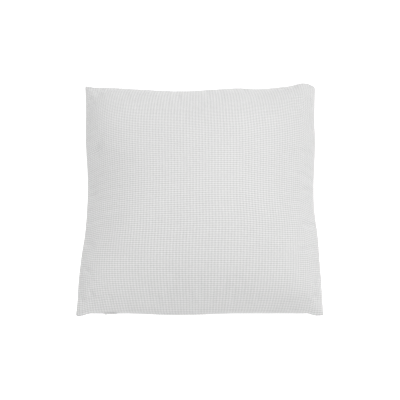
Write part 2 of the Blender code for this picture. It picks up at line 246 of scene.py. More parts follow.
# ------------------------------------------------------------------ grids of points
def resample(g, nu, nv):
    """A smooth (Catmull-Rom) finer grid through a coarser one."""
    def along(a, n):
        m = a.shape[0] - 1
        x = np.linspace(0.0, m, n + 1)
        k = np.minimum(x.astype(int), m - 1)
        f = (x - k).reshape(-1, *([1] * (a.ndim - 1)))
        pad = np.concatenate([2 * a[:1] - a[1:2], a, 2 * a[-1:] - a[-2:-1]])
        p0, p1, p2, p3 = pad[k], pad[k + 1], pad[k + 2], pad[k + 3]
        return 0.5 * (2 * p1 + (p2 - p0) * f + (2 * p0 - 5 * p1 + 4 * p2 - p3) * f**2 + (3 * p1 - p0 - 3 * p2 + p3) * f**3)
    return along(along(g, nu).swapaxes(0, 1), nv).swapaxes(0, 1)


def normals(g, side):
    du, dv = np.gradient(g, axis=0), np.gradient(g, axis=1)
    n = np.cross(du, dv)
    n /= np.maximum(np.linalg.norm(n, axis=2, keepdims=True), 1e-12)
    return n * side


def smooth01(x):
    x = np.clip(x, 0.0, 1.0)
    return x * x * (3 - 2 * x)


def border_distance(g):
    """Roughly how far each point of a grid is from the seam, over the cloth, in metres."""
    nu, nv = g.shape[0] - 1, g.shape[1] - 1
    i = np.minimum(np.arange(nu + 1), nu - np.arange(nu + 1))[:, None] * FLAT / nu
    j = np.minimum(np.arange(nv + 1), nv - np.arange(nv + 1))[None, :] * FLAT / nv
    return np.minimum(i, j), i, j


def zip_side(nu, nv):
    """How near a grid's points are to the zip's stretch of the bottom seam, 1 on it and 0 from 40 mm off."""
    u = np.linspace(-1.0, 1.0, nu + 1)[:, None]
    v = np.linspace(-1.0, 1.0, nv + 1)[None, :]
    off = (v + 1.0) * FLAT / 2
    return smooth01(1.0 - (off - 0.010) / 0.030) * smooth01((0.92 - abs(u)) / 0.06)


def nose(n, side):
    """The plain shape that the panel takes beside the zip, on an n by n grid."""
    us = np.linspace(-1.0, 1.0, n + 1)
    g = np.zeros((n + 1, n + 1, 3))
    crown = FRONT_CROWN if side > 0 else BACK_CROWN
    for i, u in enumerate(us):
        for j, v in enumerate(us):
            s, t = cloth_to_plan(u, v), cloth_to_plan(v, u)
            x, y = plan(s, t)
            g[i, j] = x, y, seam_height(x, y) + side * crown * rise(s, t)
    return g


def flatten_on_floor(g):
    h = SEAM_Z - g[..., 2]
    soft = h - (h - PRESS_START) ** 2 / (2 * (PRESS_END - PRESS_START))
    h = np.where(h >= PRESS_END, (PRESS_START + PRESS_END) / 2, np.where(h > PRESS_START, soft, h))
    top = (PRESS_START + PRESS_END) / 2
    scale = (SEAM_Z - 0.0002) / top
    g = g.copy()
    g[..., 2] = SEAM_Z - h * np.where(h > 0.05, 1 + (scale - 1) * smooth01((h - 0.05) / (top - 0.05)), 1.0)
    return g


def panel_shapes():
    front, back = simulate(SIM)
    front[..., 2] = SEAM_Z + (front[..., 2] - SEAM_Z) * 0.965
    w = zip_side(SIM, SIM)[..., None]
    front = front * (1 - w) + nose(SIM, 1) * w
    back = back * (1 - w) + nose(SIM, -1) * w
    return front, back


FRONT, BACK = panel_shapes()


# ------------------------------------------------------------------ helpers
def new_object(name, verts, faces, maps=None, smooth=True):
    """A mesh object. maps gives, by name, a UV for each vertex."""
    mesh = bpy.data.meshes.new(name)
    mesh.from_pydata(np.asarray(verts, float).tolist(), [], faces)
    mesh.update()
    if smooth:
        mesh.shade_smooth()
    if maps:
        loops = np.empty(len(mesh.loops), int)
        mesh.loops.foreach_get("vertex_index", loops)
        for key, uvs in maps.items():
            mesh.uv_layers.new(name=key).data.foreach_set("uv", np.asarray(uvs, float)[loops].ravel())
    obj = bpy.data.objects.new(name, mesh)
    scene.collection.objects.link(obj)
    return obj


def grid_faces(index, flip):
    a, b, c, d = index[:-1, :-1], index[1:, :-1], index[1:, 1:], index[:-1, 1:]
    q = np.stack([a, b, c, d], axis=-1).reshape(-1, 4)
    return (q[:, ::-1] if flip else q).tolist()


def ring(nu, nv):
    return (
        [(i, 0) for i in range(nu)] + [(nu, j) for j in range(nv)]
        + [(i, nv) for i in range(nu, 0, -1)] + [(0, j) for j in range(nv, 0, -1)]
    )


def shell(name, outer, rims, inner, steps, side):
    """A thin closed shell: an outer grid, loops of points that follow its border, and an inner grid with
    one point for every few steps of the outer one, across and up."""
    nu, nv = outer.shape[0] - 1, outer.shape[1] - 1
    su, sv = steps
    mi, mj = nu // su, nv // sv
    order = ring(nu, nv)
    u, v = np.meshgrid(np.linspace(0, 1, nu + 1), np.linspace(0, 1, nv + 1), indexing="ij")
    share = 0.86
    verts, cloth, bake = [outer.reshape(-1, 3)], [np.stack([u, v], -1).reshape(-1, 2)], [np.stack([u, v], -1).reshape(-1, 2) * share]
    index = np.arange((nu + 1) * (nv + 1)).reshape(nu + 1, nv + 1)
    faces = grid_faces(index, side < 0)
    count = index.size
    loops = [[int(index[i, j]) for i, j in order]]
    flat = np.array([(i / nu, j / nv) for i, j in order])
    for number, pts in enumerate(rims):
        loops.append(list(range(count, count + len(order))))
        count += len(order)
        verts.append(np.array(pts))
        cloth.append(flat)
        bake.append(np.stack([np.arange(len(order)) / len(order), np.full(len(order), 0.89 + 0.05 * number)], -1))
    for p, q in zip(loops, loops[1:]):
        for k in range(len(p)):
            m = (k + 1) % len(p)
            f = (p[k], q[k], q[m], p[m])
            faces.append(f if side > 0 else f[::-1])
    inner_index = count + np.arange((mi + 1) * (mj + 1)).reshape(mi + 1, mj + 1)
    verts.append(inner.reshape(-1, 3))
    small_uv = np.stack([u, v], -1)[::su, ::sv].reshape(-1, 2)
    cloth.append(small_uv)
    bake.append(small_uv * (0.11, 0.86) + (0.88, 0.0))
    faces += grid_faces(inner_index, side > 0)
    last, small = loops[-1], [int(inner_index[i, j]) for i, j in ring(mi, mj)]
    at = 0
    for k in range(len(small)):
        m = (k + 1) % len(small)
        step = su if k < mi or mi + mj <= k < 2 * mi + mj else sv
        fan = [last[(at + x) % len(last)] for x in range(step + 1)]
        at += step
        if step == 1:
            tris = [(fan[0], small[k], small[m], fan[1])]
        else:
            tris = [(fan[0], small[k], fan[1]), (fan[1], small[k], small[m])]
            tris += [(fan[x], small[m], fan[x + 1]) for x in range(1, step)]
        for t in tris:
            faces.append(t if side > 0 else t[::-1])
    return new_object(name, np.concatenate(verts), faces, {"cloth": np.concatenate(cloth), "OFBake": np.concatenate(bake)})


def tubes(name, paths, radius, sides=6):
    """Round threads along lists of points, each closed with caps."""
    verts, faces, uvs, count = [], [], [], 0
    turn = np.linspace(0, 2 * math.pi, sides, endpoint=False)
    for path in paths:
        p = np.asarray(path, float)
        t = np.gradient(p, axis=0)
        t /= np.maximum(np.linalg.norm(t, axis=1, keepdims=True), 1e-12)
        up = np.tile([0.0, 0.0, 1.0], (len(p), 1))
        near = abs(t[:, 2]) > 0.9
        up[near] = (1.0, 0.0, 0.0)
        # carry the frame along, so that the tube doesn't twist
        a = np.cross(t, up)
        a /= np.linalg.norm(a, axis=1, keepdims=True)
        for k in range(1, len(p)):
            w = a[k - 1] - t[k] * float(a[k - 1] @ t[k])
            size = float(np.linalg.norm(w))
            if size > 1e-6:
                a[k] = w / size
        b = np.cross(t, a)
        r = p[:, None] + radius * (np.cos(turn)[None, :, None] * a[:, None] + np.sin(turn)[None, :, None] * b[:, None])
        run = np.concatenate([[0.0], np.cumsum(np.linalg.norm(np.diff(p, axis=0), axis=1))])
        verts.append(r.reshape(-1, 3))
        uvs.append(np.stack([np.repeat(run, sides) / 0.01, np.tile(turn / (2 * math.pi), len(p))], -1))
        n = len(p)
        i0 = count + np.arange(n * sides).reshape(n, sides)
        for k in range(sides):
            m = (k + 1) % sides
            faces += np.stack([i0[:-1, k], i0[1:, k], i0[1:, m], i0[:-1, m]], -1)[:, ::-1].tolist()
        faces.append(i0[0].tolist())
        faces.append(i0[-1][::-1].tolist())
        count += n * sides
    obj = new_object(name, np.concatenate(verts), faces, {"thread": np.concatenate(uvs)})
    bm = bmesh.new()
    bm.from_mesh(obj.data)
    bmesh.ops.recalc_face_normals(bm, faces=bm.faces)
    bm.to_mesh(obj.data)
    bm.free()
    return obj


def place(piece, node, slot, material=None, body="pillow"):
    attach(piece, body)
    if node:
        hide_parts(node)
    if material:
        piece.data.materials.append(material)
    return piece


# ------------------------------------------------------------------ materials
def shader(name, color, rough, metallic=0.0):
    m = bpy.data.materials.new(name)
    m.use_nodes = True
    b = m.node_tree.nodes["Principled BSDF"]
    b.inputs["Base Color"].default_value = (*color, 1.0)
    b.inputs["Roughness"].default_value = rough
    b.inputs["Metallic"].default_value = metallic
    return m, m.node_tree.nodes, m.node_tree.links, b


def math_node(nodes, links, op, a, b=None, c=None):
    n = nodes.new("ShaderNodeMath")
    n.operation = op
    for k, v in enumerate((a, b, c)):
        if v is None:
            continue
        if isinstance(v, (int, float)):
            n.inputs[k].default_value = v
        else:
            links.new(v, n.inputs[k])
    return n.outputs[0]


def noise_node(nodes, links, vector, scale, detail=2.0):
    n = nodes.new("ShaderNodeTexNoise")
    n.inputs["Scale"].default_value, n.inputs["Detail"].default_value = scale, detail
    links.new(vector, n.inputs["Vector"])
    return n.outputs[0]


def spread(nodes, links, value, low, high, start=0.3, stop=0.7):
    n = nodes.new("ShaderNodeMapRange")
    for key, x in (("From Min", start), ("From Max", stop), ("To Min", low), ("To Max", high)):
        n.inputs[key].default_value = x
    links.new(value, n.inputs[0])
    return n.outputs[0]


def ramp_node(nodes, links, value, *stops):
    n = nodes.new("ShaderNodeValToRGB")
    e = n.color_ramp.elements
    while len(e) < len(stops):
        e.new(0.5)
    for k, (at, color) in enumerate(stops):
        e[k].position, e[k].color = at, (*color, 1.0)
    links.new(value, n.inputs[0])
    return n.outputs[0]


def bump_node(nodes, links, b, height, strength, distance):
    n = nodes.new("ShaderNodeBump")
    n.inputs["Strength"].default_value, n.inputs["Distance"].default_value = strength, distance
    links.new(height, n.inputs["Height"])
    links.new(n.outputs[0], b.inputs["Normal"])


def scaled(nodes, links, color, factor):
    n = nodes.new("ShaderNodeVectorMath")
    n.operation = "SCALE"
    links.new(color, n.inputs[0])
    links.new(factor, n.inputs["Scale"])
    return n.outputs[0]


def waffle_material():
    m, nodes, links, b = shader("waffle_cotton", (0.62, 0.62, 0.62), 0.92)
    b.inputs["Sheen Weight"].default_value = 0.12
    b.inputs["Sheen Roughness"].default_value = 0.5
    b.inputs["Specular IOR Level"].default_value = 0.2
    uv = nodes.new("ShaderNodeUVMap"); uv.uv_map = "cloth"
    sep = nodes.new("ShaderNodeSeparateXYZ"); links.new(uv.outputs[0], sep.inputs[0])
    u = math_node(nodes, links, "MULTIPLY", sep.outputs[0], 2 * math.pi * COLS)
    v = math_node(nodes, links, "MULTIPLY", sep.outputs[1], 2 * math.pi * ROWS)
    # 1 where ridges cross, 0 in the middle of a pit; rows are the stronger of the two
    cu = math_node(nodes, links, "COSINE", u)
    cv = math_node(nodes, links, "COSINE", v)
    ridge = math_node(nodes, links, "MULTIPLY_ADD", cu, 0.17, math_node(nodes, links, "MULTIPLY_ADD", cv, 0.33, 0.5))
    # the colour runs from the ridges' tone where they cross down to painted shade in the middle of each pit
    color = ramp_node(nodes, links, ridge, (0.0, PIT_SHADED), (1.0, RIDGE))
    geo = nodes.new("ShaderNodeTexCoord").outputs["Object"]
    cloud = spread(nodes, links, noise_node(nodes, links, geo, 9.0, 3.0), 0.975, 1.0)
    yarn = spread(nodes, links, noise_node(nodes, links, geo, 420.0, 2.0), 0.95, 1.03)
    links.new(scaled(nodes, links, scaled(nodes, links, color, cloud), yarn), b.inputs["Base Color"])
    rough = spread(nodes, links, noise_node(nodes, links, geo, 60.0), 0.86, 0.96)
    links.new(rough, b.inputs["Roughness"])
    # threads: fine lines both ways, and loose fibre
    tu = math_node(nodes, links, "SINE", math_node(nodes, links, "MULTIPLY", u, 8.0))
    tv = math_node(nodes, links, "SINE", math_node(nodes, links, "MULTIPLY", v, 6.0))
    th = math_node(nodes, links, "MAXIMUM", tu, tv)
    h = math_node(nodes, links, "MULTIPLY_ADD", th, 0.30, noise_node(nodes, links, geo, 900.0))
    bump_node(nodes, links, b, h, 0.35, 0.0002)
    return m


def thread_material():
    m, nodes, links, b = shader("sewing_thread", (0.72, 0.72, 0.71), 0.6)
    b.inputs["Sheen Weight"].default_value = 0.2
    uv = nodes.new("ShaderNodeUVMap"); uv.uv_map = "thread"
    sep = nodes.new("ShaderNodeSeparateXYZ"); links.new(uv.outputs[0], sep.inputs[0])
    along = math_node(nodes, links, "MULTIPLY", sep.outputs[0], 2 * math.pi * 12)
    round_ = math_node(nodes, links, "MULTIPLY", sep.outputs[1], 2 * math.pi * 2)
    ply = math_node(nodes, links, "SINE", math_node(nodes, links, "ADD", along, round_))
    geo = nodes.new("ShaderNodeTexCoord").outputs["Object"]
    tone = spread(nodes, links, ply, 0.86, 1.04, -1.0, 1.0)
    base = ramp_node(nodes, links, noise_node(nodes, links, geo, 300.0), (0.3, (0.66, 0.66, 0.65)), (0.7, (0.76, 0.76, 0.75)))
    links.new(scaled(nodes, links, base, tone), b.inputs["Base Color"])
    bump_node(nodes, links, b, ply, 0.6, 0.00008)
    return m


def woven_material(name, low, high, pitch, rough, sheen, twill=0.0, bump=0.0001):
    """Plain or twill cloth, its threads from the object's own X and Y."""
    m, nodes, links, b = shader(name, high, rough)
    b.inputs["Sheen Weight"].default_value = sheen
    b.inputs["Specular IOR Level"].default_value = 0.3
    geo = nodes.new("ShaderNodeTexCoord").outputs["Object"]
    sep = nodes.new("ShaderNodeSeparateXYZ"); links.new(geo, sep.inputs[0])
    x = math_node(nodes, links, "MULTIPLY", sep.outputs[0], 2 * math.pi / pitch)
    across = math_node(nodes, links, "ADD", sep.outputs[1], math_node(nodes, links, "MULTIPLY", sep.outputs[2], 0.8))
    y = math_node(nodes, links, "MULTIPLY", across, 2 * math.pi / pitch)
    if twill:
        y = math_node(nodes, links, "MULTIPLY_ADD", x, twill, y)
    grain = math_node(nodes, links, "MULTIPLY", math_node(nodes, links, "SINE", x), math_node(nodes, links, "SINE", y))
    fleck = noise_node(nodes, links, geo, 500.0)
    mixed = math_node(nodes, links, "MULTIPLY_ADD", grain, 0.25, fleck)
    base = ramp_node(nodes, links, mixed, (0.25, low), (0.75, high))
    cloud = spread(nodes, links, noise_node(nodes, links, geo, 14.0, 3.0), 0.95, 1.0)
    links.new(scaled(nodes, links, base, cloud), b.inputs["Base Color"])
    bump_node(nodes, links, b, mixed, 0.5, bump)
    return m


def fibre_material():
    m, nodes, links, b = shader("polyester_fibre", (0.86, 0.86, 0.86), 0.95)
    b.inputs["Sheen Weight"].default_value = 0.35
    b.inputs["Subsurface Weight"].default_value = 0.1
    b.inputs["Subsurface Radius"].default_value = (0.004, 0.004, 0.004)
    geo = nodes.new("ShaderNodeTexCoord").outputs["Object"]
    stretch = nodes.new("ShaderNodeMapping")
    stretch.inputs["Scale"].default_value = (1.0, 0.25, 1.0)
    links.new(geo, stretch.inputs[0])
    strand = noise_node(nodes, links, stretch.outputs[0], 350.0, 6.0)
    wad = noise_node(nodes, links, geo, 30.0, 5.0)
    links.new(ramp_node(nodes, links, wad, (0.3, (0.78, 0.78, 0.78)), (0.7, (0.88, 0.88, 0.88))), b.inputs["Base Color"])
    h = math_node(nodes, links, "MULTIPLY_ADD", strand, 0.5, wad)
    bump_node(nodes, links, b, h, 0.9, 0.002)
    return m


def coil_material():
    m, nodes, links, b = shader("zip_coil_nylon", (0.74, 0.74, 0.73), 0.32)
    b.inputs["Coat Weight"].default_value = 0.2
    geo = nodes.new("ShaderNodeTexCoord").outputs["Object"]
    links.new(ramp_node(nodes, links, noise_node(nodes, links, geo, 220.0), (0.3, (0.68, 0.68, 0.67)), (0.7, (0.78, 0.78, 0.77))), b.inputs["Base Color"])
    links.new(spread(nodes, links, noise_node(nodes, links, geo, 900.0), 0.26, 0.42), b.inputs["Roughness"])
    return m


def metal_material():
    """White enamel over zinc, rubbed through a little along its edges."""
    m, nodes, links, b = shader("zip_enamel", (0.78, 0.78, 0.77), 0.35)
    geo = nodes.new("ShaderNodeTexCoord").outputs["Object"]
    edge = nodes.new("ShaderNodeNewGeometry").outputs["Pointiness"]
    fleck = noise_node(nodes, links, geo, 1800.0, 4.0)
    worn = math_node(nodes, links, "MULTIPLY_ADD", fleck, 0.12, edge)
    wear = spread(nodes, links, worn, 0.0, 1.0, 0.63, 0.70)
    links.new(ramp_node(nodes, links, wear, (0.0, (0.78, 0.78, 0.77)), (1.0, (0.58, 0.58, 0.59))), b.inputs["Base Color"])
    links.new(spread(nodes, links, wear, 0.0, 0.8, 0.0, 1.0), b.inputs["Metallic"])
    links.new(spread(nodes, links, fleck, 0.28, 0.42), b.inputs["Roughness"])
    bump_node(nodes, links, b, noise_node(nodes, links, geo, 400.0, 2.0), 0.06, 0.0001)
    return m


# the pit colour is the ridge colour with painted shade: the waffle's pits are painted darker where shade falls in them
PIT_SHADED, RIDGE = (0.488, 0.488, 0.487), (0.711, 0.711, 0.710)
WAFFLE = waffle_material()
THREAD = thread_material()
TAPE = woven_material("zip_tape_cloth", (0.60, 0.60, 0.59), (0.74, 0.74, 0.73), 0.0011, 0.8, 0.1, twill=1.0)
LINING = woven_material("insert_lining", (0.70, 0.70, 0.70), (0.84, 0.84, 0.84), 0.0009, 0.9, 0.1)
SATIN = woven_material("label_satin", (0.76, 0.76, 0.75), (0.86, 0.86, 0.85), 0.0006, 0.35, 0.5, twill=3.0, bump=0.00004)
FIBRE = fibre_material()
COIL = coil_material()
ENAMEL = metal_material()


# ------------------------------------------------------------------ the cover
def relief(nu, nv):
    """The waffle's height over a grid of mesh steps: ridges on the cell borders, each a little uneven."""
    i, j = np.arange(nu + 1)[:, None], np.arange(nv + 1)[None, :]
    column = (i % PER_COL == 0) * (1.0 + 0.06 * np.sin(i * 1.7))      # ridges that run up the panel
    row = (j % PER_ROW == 0) * (1.0 + 0.06 * np.sin(j * 2.3))         # ridges that run across it
    return np.maximum(column, row) + 0.10 * (column > 0) * (row > 0)


# dents of use in the front panel: x, y, half length, half width, turn in degrees, depth
DENTS = (
    (-0.184, 0.078, 0.016, 0.009, 80.0, 0.0040),
    (-0.187, 0.000, 0.012, 0.007, 70.0, 0.0022),
    (-0.190, -0.095, 0.014, 0.007, 85.0, 0.0020),
    (-0.190, 0.180, 0.020, 0.012, 50.0, 0.0020),
    (0.168, 0.164, 0.024, 0.009, 40.0, 0.0026),
    (0.158, 0.060, 0.022, 0.016, 20.0, 0.0012),
    (-0.066, 0.080, 0.055, 0.008, -20.0, 0.0010),
    (-0.195, -0.190, 0.014, 0.006, 35.0, 0.0020),
    (0.186, 0.010, 0.016, 0.006, 12.0, 0.0022),
    (0.184, -0.055, 0.018, 0.006, -8.0, 0.0018),
    (0.040, 0.186, 0.005, 0.016, 8.0, 0.0016),
    (-0.040, 0.186, 0.006, 0.018, -10.0, 0.0018),
)
# the same in the back panel, which rests on its middle
BACK_DENTS = (
    (-0.180, 0.050, 0.020, 0.008, 12.0, 0.0040),
    (-0.182, -0.070, 0.020, 0.008, -14.0, 0.0034),
    (0.180, 0.075, 0.020, 0.008, -16.0, 0.0036),
    (0.182, -0.030, 0.022, 0.008, 6.0, 0.0040),
    (0.060, 0.178, 0.008, 0.022, 12.0, 0.0040),
    (-0.055, 0.180, 0.008, 0.022, -10.0, 0.0036),
    (0.005, 0.182, 0.007, 0.020, 4.0, 0.0028),
    (-0.120, -0.165, 0.007, 0.018, 20.0, 0.0026),
    (0.095, -0.165, 0.008, 0.018, -16.0, 0.0028),
    (0.165, 0.165, 0.026, 0.008, 45.0, 0.0030),
    (-0.165, 0.165, 0.026, 0.008, -45.0, 0.0030),
)


def dent(g, n, dents):
    for x, y, long, wide, turn, depth in dents:
        c, s = math.cos(math.radians(turn)), math.sin(math.radians(turn))
        a = ((g[..., 0] - x) * c + (g[..., 1] - y) * s) / long
        b = (-(g[..., 0] - x) * s + (g[..., 1] - y) * c) / wide
        g = g - n * (depth * np.exp(-(a * a + b * b)))[..., None]
    return g


def beside_seam(p, i, j, nu, nv, depth, height, side):
    """A point in from a border point of a panel and off its seam."""
    p = np.array(p, float)
    if i in (0, nu):
        p[0] -= math.copysign(depth, p[0])
    else:
        p[0] *= 1 - depth / 0.213
    if j in (0, nv):
        p[1] -= math.copysign(depth, p[1])
    else:
        p[1] *= 1 - depth / 0.211
    p[2] += side * height
    return p


def fine_base(base, nu, nv, side):
    fine = resample(base, nu, nv)
    edge, _, _ = border_distance(fine)
    n = normals(fine, side)
    fine = fine + (dent(fine, n, DENTS if side > 0 else BACK_DENTS) - fine) * smooth01(edge / 0.006)[..., None]
    if side < 0:
        fine = flatten_on_floor(fine)
    # beside the zip the panels roll over the seam a little, most in the middle of it
    e = np.arange(nv + 1)[None, :] * FLAT / nv
    over = np.exp(-(np.log(np.maximum(e, 1e-5) / 0.0065) / 0.85) ** 2) * np.exp(-abs((fine[..., 0] + 0.036) / 0.075) ** 2.6)
    fine = fine.copy()
    fine[..., 1] -= (0.0012 if side > 0 else 0.0036) * over
    # turned out, a corner ends blunt
    for i, j in ((0, 0), (0, nv), (nu, 0), (nu, nv)):
        away = np.linalg.norm(fine[..., :2] - fine[i, j, :2], axis=-1)
        pull = 0.0013 * np.maximum(0.0, 1.0 - away / 0.007)[..., None] ** 2
        fine[..., :2] += pull * np.array([1.0 if i == 0 else -1.0, 1.0 if j == 0 else -1.0]) / math.sqrt(2)
    return fine


def cover_panel(name, node, base, side):
    nu, nv = COLS * PER_COL, ROWS * PER_ROW
    fine = fine_base(base, nu, nv, side)
    edge, _, _ = border_distance(fine)
    lip = zip_side(nu, nv)
    n = normals(fine, side)
    # the two panels part by the seam's gap, or by the slit over the zip
    gap = SEAM_GAP + (LIP_GAP - SEAM_GAP) * (lip > 0.5)
    outer = fine + 0.0
    outer[..., 2] += side * gap * smooth01(1.0 - edge / 0.012)
    height = relief(nu, nv) - 0.45
    fade = smooth01((edge - 0.0008) / 0.0035)
    outer += n * (RELIEF * height * fade)[..., None]
    if side < 0:
        outer[..., 2] = np.maximum(outer[..., 2], 0.0)
    inner = (fine - n * FABRIC)[::PER_COL, ::PER_ROW].copy()
    order = ring(nu, nv)
    # the allowance is clipped away towards each corner, as it is before a cover is turned out
    reach = {}
    for i, j in order:
        far = min(i, nu - i) * FLAT / nu + min(j, nv - j) * FLAT / nv
        reach[i, j] = min(1.0, 0.14 + far / 0.045)
    rims = []
    for depth, high, low, zdepth, zhigh in ((0.0090, SEAM_GAP, 0.3, 0.0014, LIP_GAP), (0.0090, SEAM_GAP + 0.0014, 0.12, 0.0016, LIP_GAP + 0.0004)):
        pts = []
        for i, j in order:
            z = j == 0 and lip[i, 0] > 0.5
            k = reach[i, j]
            pts.append(beside_seam(fine[i, j], i, j, nu, nv, zdepth if z else depth * k, zhigh if z else high * (low + (1 - low) * k), side))
        rims.append(pts)
    for i in range(COLS + 1):
        for j in range(ROWS + 1):
            if i in (0, COLS) or j in (0, ROWS):
                p, q = i * PER_COL, j * PER_ROW
                z = j == 0 and lip[p, 0] > 0.5
                k = reach[p, q]
                inner[i, j] = beside_seam(fine[p, q], p, q, nu, nv, 0.0020 * (0.5 + 0.5 * k), 0.0016 if z else 0.00175 * (0.16 + 0.84 * k), side)
    obj = shell(name, outer, rims, inner, (PER_COL, PER_ROW), side)
    place(obj, node, "waffle_fabric", WAFFLE)
    return obj


cover_front = cover_panel("cover_front", "cover_front_panel", FRONT, 1)
cover_back = cover_panel("cover_back", "cover_back_panel", BACK, -1)


# ------------------------------------------------------------------ seams
def seam_line(edge):
    """The seam's points along an edge, and the way in from each of them."""
    line = {"left": FRONT[0], "right": FRONT[-1], "top": FRONT[:, -1], "bottom": FRONT[:, 0]}[edge]
    m = len(line) - 1
    line = resample(line[:, None, :].repeat(2, axis=1), m * 8, 1)[:, 0]
    way = {"left": (1, 0), "right": (-1, 0), "top": (0, -1), "bottom": (0, 1)}[edge]
    along = np.gradient(line, axis=0)
    along /= np.linalg.norm(along, axis=1, keepdims=True)
    inward = np.array([*way, 0.0]) - along * (along @ np.array([*way, 0.0]))[:, None]
    inward /= np.linalg.norm(inward, axis=1, keepdims=True)
    run = np.concatenate([[0.0], np.cumsum(np.linalg.norm(np.diff(line, axis=0), axis=1))])
    return line, inward, run


def along_seam(edge, at, depth, height):
    """Points at distances along an edge, in from the seam and off its plane."""
    line, inward, run = seam_line(edge)
    p = np.stack([np.interp(at, run, line[:, k]) for k in range(3)], -1)
    w = np.stack([np.interp(at, run, inward[:, k]) for k in range(3)], -1)
    return p + w * np.asarray(depth)[:, None] + np.array([0, 0, 1.0]) * np.asarray(height)[:, None]


def overlock(edge):
    """Loops of thread that wrap the raw edges of both allowances, with two needle rows."""
    total = seam_line(edge)[2][-1]
    a0, a1 = 0.012, total - 0.012
    pitch = 0.0028
    turns = int((a1 - a0) / pitch)
    shape = [(0.0064, 0.00185), (0.0080, 0.00180), (0.0093, 0.00165), (0.0096, 0.0), (0.0093, -0.00165), (0.0080, -0.00180), (0.0064, -0.00185), (0.0064, -0.00150)]
    lag = [0.0, 0.25, 0.45, 0.5, 0.55, 0.75, 1.0, 1.0]
    at, dep, hei = [], [], []
    for k in range(turns):
        for (d, h), l in zip(shape[:-1], lag):
            at.append(a0 + (k + l * 0.5) * pitch)
            dep.append(d)
            hei.append(h)
        for d, h, l in ((0.0072, -0.00182, 0.62), (0.0093, -0.00168, 0.75), (0.0096, 0.0, 0.80), (0.0093, 0.00168, 0.85), (0.0072, 0.00182, 0.94)):
            at.append(a0 + (k + l) * pitch)
            dep.append(d)
            hei.append(h)
    paths = [along_seam(edge, np.array(at), np.array(dep), np.array(hei))]
    for side in (1, -1):
        n = int((a1 - a0) / 0.0014)
        x = np.linspace(a0, a1, n)
        paths.append(along_seam(edge, x, np.full(n, 0.0063), side * (0.00205 - 0.00022 * (np.arange(n) % 2))))
    return tubes("overlock_thread_" + edge, paths, 0.00016, 5)


for edge in ("left", "right", "top"):
    place(overlock(edge), "overlock_" + edge, "sewing_thread", THREAD)


def seam_stitches():
    """The lockstitch that joins the two panels: bars of thread through both allowances beside the fold."""
    paths = []
    for edge in ("left", "right", "top"):
        total = seam_line(edge)[2][-1]
        at = np.arange(0.010, total - 0.010, 0.0030)
        for a in at:
            x = np.array([a, a + 0.0001, a + 0.0002])
            paths.append(along_seam(edge, x, np.full(3, 0.0004), np.array([0.0006, 0.0, -0.0006])))
    return tubes("seam_stitches", paths, 0.00014, 5)


place(seam_stitches(), None, "sewing_thread", THREAD)


# ------------------------------------------------------------------ the zip
def zip_point(x, depth, height):
    return np.array((x, ZIP_Y + depth, SEAM_Z + height))


def zip_tape(side):
    line = np.array([(0.0058, 0.00075), (0.0058, 0.0030), (0.0060, 0.0046), (0.0066, 0.0060), (0.0074, 0.0068), (0.0084, 0.0073), (0.0095, 0.0076)])
    t = np.linspace(0, len(line) - 1, 22)
    prof = np.stack([np.interp(t, np.arange(len(line)), line[:, k]) for k in range(2)], -1)
    for _ in range(3):
        prof[1:-1] = 0.25 * prof[:-2] + 0.5 * prof[1:-1] + 0.25 * prof[2:]
    d = np.gradient(prof, axis=0)
    d /= np.linalg.norm(d, axis=1, keepdims=True)
    nor = np.stack([d[:, 1], -d[:, 0]], -1)
    xs = np.linspace(-0.1820, 0.1820, 301)
    rings_, half = [], 0.00024
    for k, x in enumerate(xs):
        wave = 0.00012 * math.sin(x * 310.0) * np.linspace(0, 1, len(prof)) ** 2
        centre = prof + nor * wave[:, None]
        selvage = 1.0 + 0.25 * (np.linspace(0, 1, len(prof)) > 0.9)
        a = centre + nor * (half * selvage)[:, None]
        b = centre - nor * (half * selvage)[:, None]
        loop = np.concatenate([a, b[::-1]])
        rings_.append([zip_point(x, p, side * h) for p, h in loop])
    r = np.array(rings_)
    n, m = r.shape[:2]
    idx = np.arange(n * m).reshape(n, m)
    faces = []
    for k in range(m):
        q = (k + 1) % m
        faces += np.stack([idx[:-1, k], idx[1:, k], idx[1:, q], idx[:-1, q]], -1).tolist()
    half_m = m // 2
    for row, flip in ((0, False), (n - 1, True)):
        for k in range(half_m - 1):
            f = [int(idx[row, k]), int(idx[row, k + 1]), int(idx[row, m - 2 - k]), int(idx[row, m - 1 - k])]
            faces.append(f[::-1] if flip else f)
    obj = new_object("zip_tape_%s_cloth" % ("front" if side > 0 else "back"), r.reshape(-1, 3), faces)
    bm = bmesh.new()
    bm.from_mesh(obj.data)
    bmesh.ops.recalc_face_normals(bm, faces=bm.faces)
    bm.to_mesh(obj.data)
    bm.free()
    return obj


def coil(side):
    """A flattened spiral of monofilament, sewn to its tape through its middle."""
    x0, x1, pitch = -0.1688, 0.1698, 0.0014
    turns = (x1 - x0) / pitch
    steps = int(turns * 12)
    k = np.arange(steps + 1)
    ang = 2 * math.pi * k / 12
    c, s = np.cos(ang), np.sin(ang)
    # wider than deep, with a bulge where it would engage the other side
    d = 0.00484 + 0.00022 * np.sign(s) * abs(s) ** 0.7
    h = 0.00132 + 0.00060 * np.sign(c) * abs(c) ** 0.7
    x = x0 + (x1 - x0) * k / steps
    path = np.stack([x, ZIP_Y + d, SEAM_Z + side * h], -1)
    return tubes("zip_coil_%s_spiral" % ("front" if side > 0 else "back"), [path], 0.00016, 6)


def tape_stitch(side):
    """Lockstitch through the tape and its panel: long stitches on top, dipping in at each hole."""
    paths = []
    x = -0.1795
    while x < 0.1790:
        pts = []
        for f, lift in ((0.0, -0.00030), (0.10, 0.0), (0.30, 0.00008), (0.5, 0.00010), (0.70, 0.00008), (0.90, 0.0), (1.0, -0.00030)):
            pts.append(zip_point(x + f * 0.0026, 0.00800 + 0.5 * lift, side * (0.00655 - lift)))
        paths.append(pts)
        x += 0.0028
    return tubes("zip_stitch_%s_thread" % ("front" if side > 0 else "back"), paths, 0.00016, 6)


